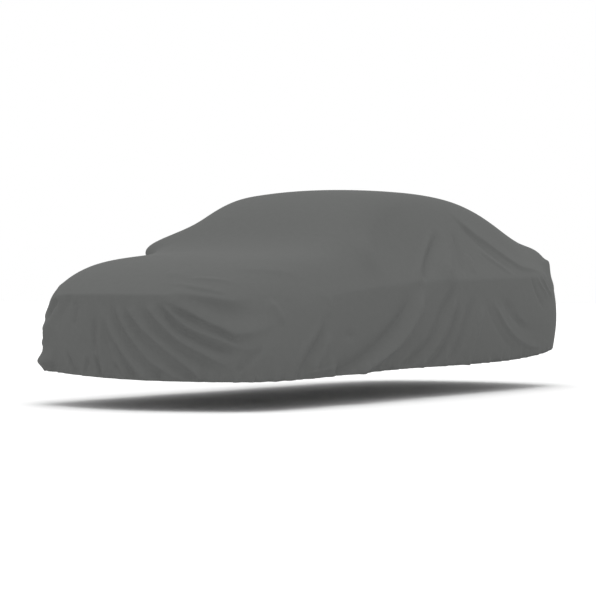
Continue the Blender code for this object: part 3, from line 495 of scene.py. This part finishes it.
def liftHem(points):  # draws stretches of the hem up, and returns how far its elastic gathers it in and out
    height = points[:, 2] + sheet["roofHeight"]
    low = (height < sheet["liftTop"]).nonzero()[0]
    roundAt = roundOf(points[low])
    nearHem = np.exp(-(((height[low] - sheet["liftFrom"]) / sheet["liftReach"]).clip(0.0) ** 2))
    for row in sheet["lifts"]:
        size = dict(zip(sheet["liftColumns"], row))
        swell = np.exp(-(((roundAt - size["round"]) / size["halfLength"]) ** 2))
        points[low, 2] += size["lift"] * swell * nearHem
    gather = np.zeros(len(points))
    drift, often = sheet["gatherDrift"]
    for length, depth in sheet["gathers"]:
        phase = roundAt + drift * length * np.sin(roundAt * often)
        gather[low] += depth * np.sin(2 * math.pi * phase / length)
    height = points[:, 2] + sheet["roofHeight"]
    return gather * np.exp(-(((height - sheet["gatherFrom"]) / sheet["gatherReach"]).clip(0.0) ** 2))


def drapeSheet():
    guide = smoothSheet("guide", sheet["courseLevels"])
    faces = [tuple(face.vertices) for face in guide.data.polygons]
    tree = BVHTree.FromPolygons([Vector(p) for p in pointsOf(guide.data)], faces)
    bpy.data.objects.remove(guide, do_unlink=True)
    cloth = smoothSheet("coverCloth", sheet["clothLevels"])
    points = pointsOf(cloth.data)
    normals = pointsOf(cloth.data, "vertex_normals", "vector")
    rise = np.zeros(len(points))
    for row in folds["rows"]:
        addFold(rise, points, tree, row)
    draped = points + normals * rise[:, None]
    for row in sheet["mirrors"]:
        size = dict(zip(sheet["mirrorColumns"], row))
        centre = np.array(layOn(tree, size["round"], size["height"])[0])
        away = np.linalg.norm((points - centre) * sheet["mirrorStretch"], axis=1)
        draped[:, 0] += size["side"] * size["out"] * np.exp(-((away / size["reach"]) ** 2))
    draped += normals * liftHem(draped)[:, None]
    cloth.data.vertices.foreach_set("co", draped.ravel())
    cloth.data.update()
    triangles = sum(len(face.vertices) - 2 for face in cloth.data.polygons)
    applyModifier(cloth, "DECIMATE", ratio=sheet["triangles"] / triangles)
    return cloth


def markHem(mesh, reach=0.12):  # each point's distance from the hem, for its turned edge
    count = {}
    for face in mesh.polygons:
        for edge in face.edge_keys:
            count[edge] = count.get(edge, 0) + 1
    rim = [edge for edge, faces in count.items() if faces == 1]
    tree = KDTree(len(rim) * 4)
    for n, (a, b) in enumerate(rim):
        for k in range(4):
            place = mesh.vertices[a].co.lerp(mesh.vertices[b].co, k / 4)
            tree.insert(place, n)
    tree.balance()
    hem = [min(tree.find(vertex.co)[2], reach) for vertex in mesh.vertices]
    mesh.attributes.new("hem", "FLOAT", "POINT").data.foreach_set("value", hem)
    length = sum((mesh.vertices[a].co - mesh.vertices[b].co).length for a, b in rim)
    print("hem", round(length, 2), "m round")


cloth = drapeSheet()
print("draped", len(cloth.data.polygons), "triangles")
area = sum(face.area for face in cloth.data.polygons)
markHem(cloth.data)
applyModifier(cloth, "SOLIDIFY", thickness=sheet["thickness"], offset=-1.0, use_even_offset=True,
              use_quality_normals=True)
cloth.data.shade_smooth()
print("sheet of", round(area, 2), "square metres,", len(cloth.data.polygons), "faces")


def linear(code):  # an sRGB hex colour as linear RGBA
    parts = [int(code[i:i + 2], 16) / 255 for i in (1, 3, 5)]
    return [c / 12.92 if c <= 0.04045 else ((c + 0.055) / 1.055) ** 2.4 for c in parts] + [1.0]


def addNode(nodes, kind, links=None, **settings):  # a node with its settings, and its inputs set or linked
    node = nodes.nodes.new(kind)
    for name, value in settings.items():
        setattr(node, name, value)
    for socket, value in (links or {}).items():
        if isinstance(value, bpy.types.NodeSocket):
            nodes.links.new(value, node.inputs[socket])
        else:
            node.inputs[socket].default_value = value
    return node


# Spunbond polypropylene, the usual cloth of a light car cover: grey filaments laid as a web and pressed
# together at small points. It is matt, and a little cloudy where the web is thicker. Its turned hem is twice
# as thick.
spunbond = {
    "grey": "#5D5E5D",
    "thin": "#595A59",  # where the web is thinner
    "roughness": 0.95,
    "specular": 0.08,
    "cloud": 0.035,  # size of the web's cloudy patches
    "bond": 0.006,  # the bond points, drawn coarser than their real 1.5 mm so that they show
    "bondDepth": 0.00025,
    "bondStrength": 0.3,  # how much of their relief shows
    "hemFold": 0.030,  # width of the turned hem, in which the elastic runs
    "hemStep": 0.003,  # half the width of its sewn edge
    "hemStrength": 0.5,
}


def spunbondMaterial():
    material = bpy.data.materials.new("greySpunbondPolypropylenePointBonded")
    material.use_nodes = True
    nodes = material.node_tree
    shader = nodes.nodes["Principled BSDF"]
    place = addNode(nodes, "ShaderNodeTexCoord").outputs["Object"]
    cloud = addNode(nodes, "ShaderNodeTexNoise",
                    {"Vector": place, "Scale": 1 / spunbond["cloud"], "Detail": 4.0, "Roughness": 0.6})
    tone = addNode(nodes, "ShaderNodeMix",
                   {0: cloud.outputs["Fac"], 6: linear(spunbond["thin"]), 7: linear(spunbond["grey"])},
                   data_type="RGBA")
    nodes.links.new(tone.outputs[2], shader.inputs["Base Color"])
    bond = addNode(nodes, "ShaderNodeTexVoronoi", {"Vector": place, "Scale": 1 / spunbond["bond"]})
    bonded = addNode(nodes, "ShaderNodeBump",
                     {"Height": bond.outputs["Distance"], "Distance": spunbond["bondDepth"],
                      "Strength": spunbond["bondStrength"]})
    fromHem = addNode(nodes, "ShaderNodeAttribute", attribute_name="hem").outputs["Fac"]
    doubled = addNode(nodes, "ShaderNodeMapRange",
                      {"Value": fromHem, "From Min": spunbond["hemFold"] - spunbond["hemStep"],
                       "From Max": spunbond["hemFold"] + spunbond["hemStep"], "To Min": 1.0, "To Max": 0.0})
    hemmed = addNode(nodes, "ShaderNodeBump",
                     {"Height": doubled.outputs["Result"], "Distance": sheet["thickness"],
                      "Strength": spunbond["hemStrength"],
                      "Normal": bonded.outputs["Normal"]})
    nodes.links.new(hemmed.outputs["Normal"], shader.inputs["Normal"])
    shader.inputs["Roughness"].default_value = spunbond["roughness"]
    shader.inputs["Specular IOR Level"].default_value = spunbond["specular"]
    return material


cloth.data.materials.clear()
cloth.data.materials.append(spunbondMaterial())
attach(cloth, "root")
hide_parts("cover")
print("cloth finished")

# A studio: white all round, a pale floor, and one large soft light overhead.
studio = {
    "floorSize": 160.0,
    "floorColour": "#F4F4F4",
    "surround": 1.0,  # strength of the white all round
    "overhead": 1.22,
    "overheadAngle": 50,  # degrees across, which sets how soft its shadows are
    "overheadFrom": (0.06, -0.05, 1.00),
}


def makeFloor():
    bpy.ops.mesh.primitive_plane_add(size=studio["floorSize"], location=(0.0, 0.0, -sheet["roofHeight"]))
    floor = bpy.context.object
    floor.name = "floor"
    material = bpy.data.materials.new("paleStudioFloorPainted")
    material.use_nodes = True
    shader = material.node_tree.nodes["Principled BSDF"]
    shader.inputs["Base Color"].default_value = linear(studio["floorColour"])
    shader.inputs["Roughness"].default_value = 0.9
    floor.data.materials.append(material)


def makeLights():
    world = bpy.data.worlds.new("studio")
    bpy.context.scene.world = world
    world.use_nodes = True
    around = world.node_tree.nodes["Background"]
    around.inputs["Color"].default_value = (1.0, 1.0, 1.0, 1.0)
    around.inputs["Strength"].default_value = studio["surround"]
    overhead = bpy.data.lights.new("overhead", "SUN")
    overhead.energy = studio["overhead"]
    overhead.angle = math.radians(studio["overheadAngle"])
    thing = bpy.data.objects.new("overhead", overhead)
    thing.rotation_euler = Vector(studio["overheadFrom"]).to_track_quat("Z", "Y").to_euler()
    bpy.context.scene.collection.objects.link(thing)


camera = {
    "place": (7.503, -12.067, -0.697),
    "towards": (-0.5478, 0.8366, -0.0038),
    "lens": 122.24,
}


def makeCamera():
    data = bpy.data.cameras.new("camera")
    data.sensor_width = 36.0
    data.lens = camera["lens"]
    thing = bpy.data.objects.new("camera", data)
    thing.location = camera["place"]
    thing.rotation_euler = Vector(camera["towards"]).to_track_quat("-Z", "Y").to_euler()
    bpy.context.scene.collection.objects.link(thing)
    bpy.context.scene.camera = thing


makeFloor()
makeLights()
makeCamera()
bpy.context.scene.view_settings.view_transform = "Standard"
print("studio ready")
